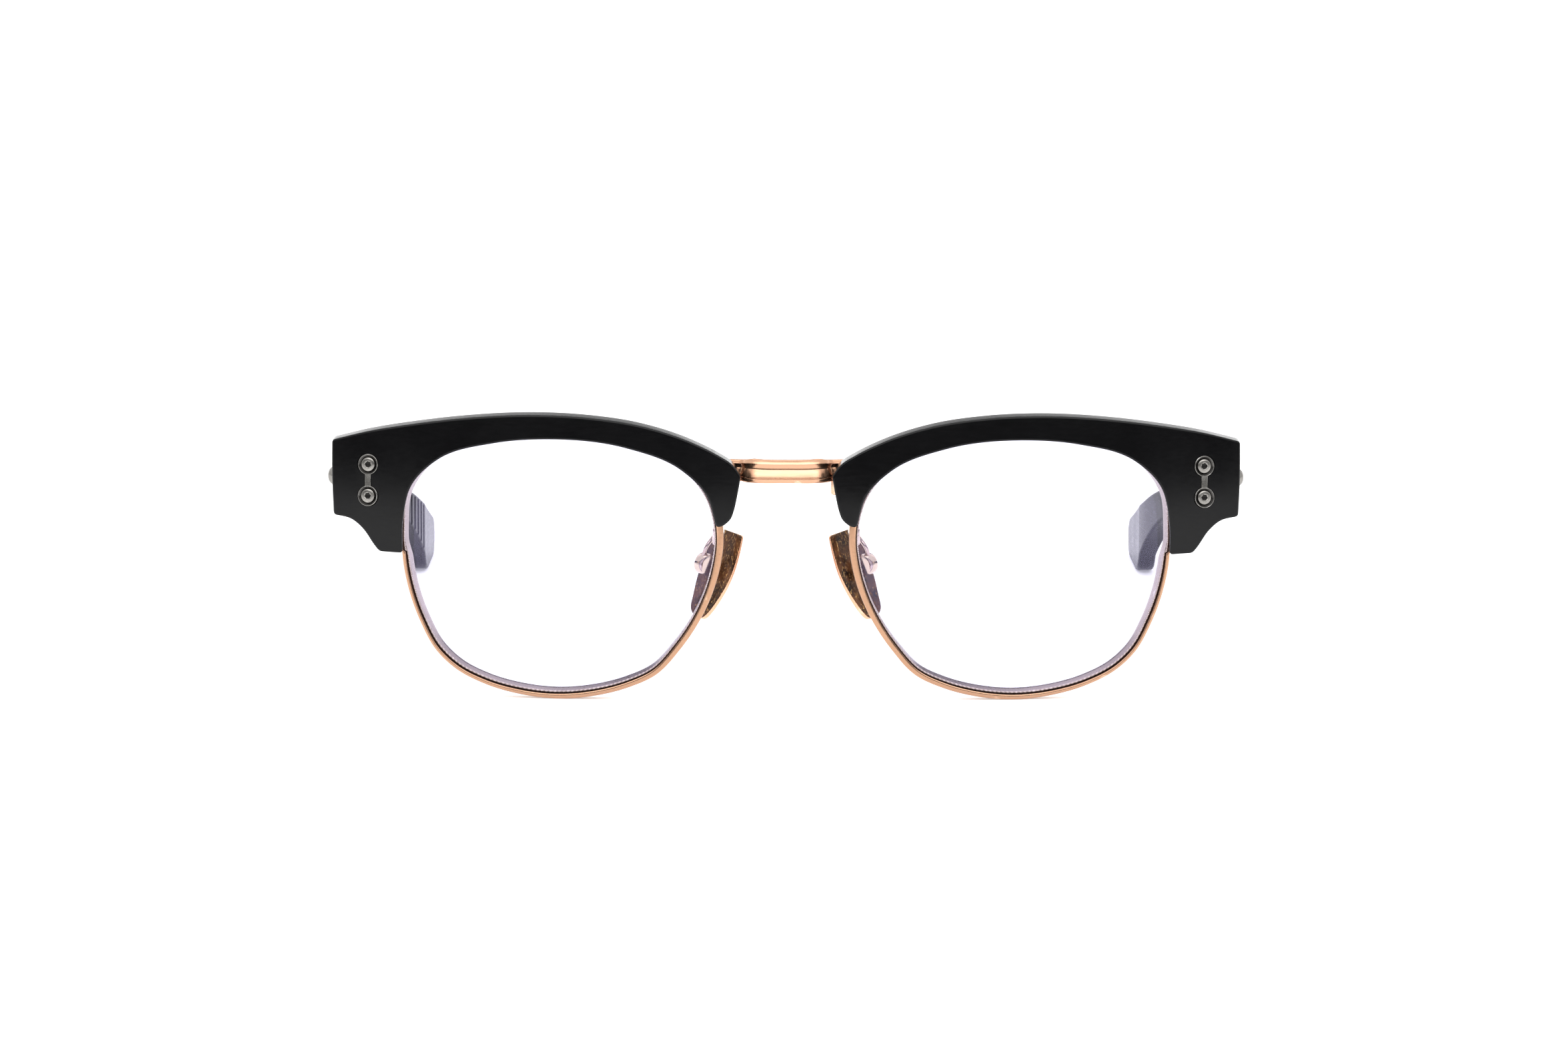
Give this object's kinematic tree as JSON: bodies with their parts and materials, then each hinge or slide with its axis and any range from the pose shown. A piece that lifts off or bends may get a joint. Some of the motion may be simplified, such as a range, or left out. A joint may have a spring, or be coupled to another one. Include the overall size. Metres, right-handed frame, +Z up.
{
  "type": "half rim eyeglasses",
  "caption": "Browline eyeglasses with acetate brows over metal rims, clear lenses, folding hinged temples and rocking nose pads.",
  "frame": {"origin": "middle of the glasses' box, on the surface they stand on with the temples open", "axes": "+Z up from the table; +Y back along the temples, away from the wearer's view side of the lenses; +X to the wearer's left"},
  "size_m": [0.1472, 0.1538, 0.0456],
  "materials": {
    "brow_acetate": "polished black acetate",
    "temple_acetate": "polished black acetate",
    "rim_metal": "polished rose gold plate",
    "bridge_metal": "polished pale gold plate",
    "hinge_metal": "satin pale gold plate",
    "plaque_metal": "polished dark nickel",
    "screw_metal": "polished dark nickel",
    "fixing_steel": "turned steel",
    "lens_plastic": "clear, with an anti-reflection coating",
    "pad_plastic": "polished amber brown"
  },
  "bodies": {
    "front": {"bridge": "bridge_metal", "left_brow": "brow_acetate", "left_rim": "rim_metal", "left_lens": "lens_plastic", "left_front_plaque": "plaque_metal", "left_front_screw_upper": "screw_metal", "left_front_screw_lower": "screw_metal", "left_brow_screw": "fixing_steel", "left_rim_lock_block": "rim_metal", "left_rim_lock_screw": "fixing_steel", "left_hinge_front": "hinge_metal", "left_hinge_screw": "fixing_steel", "left_pad_arm": "bridge_metal", "left_pad_screw": "fixing_steel", "right_brow": "brow_acetate", "right_rim": "rim_metal", "right_lens": "lens_plastic", "right_front_plaque": "plaque_metal", "right_front_screw_upper": "screw_metal", "right_front_screw_lower": "screw_metal", "right_brow_screw": "fixing_steel", "right_rim_lock_block": "rim_metal", "right_rim_lock_screw": "fixing_steel", "right_hinge_front": "hinge_metal", "right_hinge_screw": "fixing_steel", "right_pad_arm": "bridge_metal", "right_pad_screw": "fixing_steel"},
    "left_temple_arm": {"left_temple": "temple_acetate", "left_temple_core_wire": "fixing_steel", "left_temple_plaque": "plaque_metal", "left_temple_screw_front": "screw_metal", "left_temple_screw_rear": "screw_metal", "left_hinge_temple": "hinge_metal"},
    "left_pad": {"left_nose_pad": "pad_plastic"},
    "right_temple_arm": {"right_temple": "temple_acetate", "right_temple_core_wire": "fixing_steel", "right_temple_plaque": "plaque_metal", "right_temple_screw_front": "screw_metal", "right_temple_screw_rear": "screw_metal", "right_hinge_temple": "hinge_metal"},
    "right_pad": {"right_nose_pad": "pad_plastic"}
  },
  "joints": [
    {"name": "left_temple_hinge", "type": "hinge", "parent": "front", "child": "left_temple_arm", "pos_m": [0.0663, -0.0634, 0.0346], "axis": [0, 0, 1], "range_deg": [0, 90]},
    {"name": "left_pad_rock", "type": "hinge", "parent": "front", "child": "left_pad", "pos_m": [0.01278, -0.06886, 0.02127], "axis": [0.6202, 0.7803, 0.08], "range_deg": [-10, 10]},
    {"name": "right_temple_hinge", "type": "hinge", "parent": "front", "child": "right_temple_arm", "pos_m": [-0.0663, -0.0634, 0.0346], "axis": [0, 0, -1], "range_deg": [0, 84]},
    {"name": "right_pad_rock", "type": "hinge", "parent": "front", "child": "right_pad", "pos_m": [-0.01278, -0.06886, 0.02127], "axis": [-0.6202, 0.7803, 0.08], "range_deg": [-10, 10]}
  ]
}
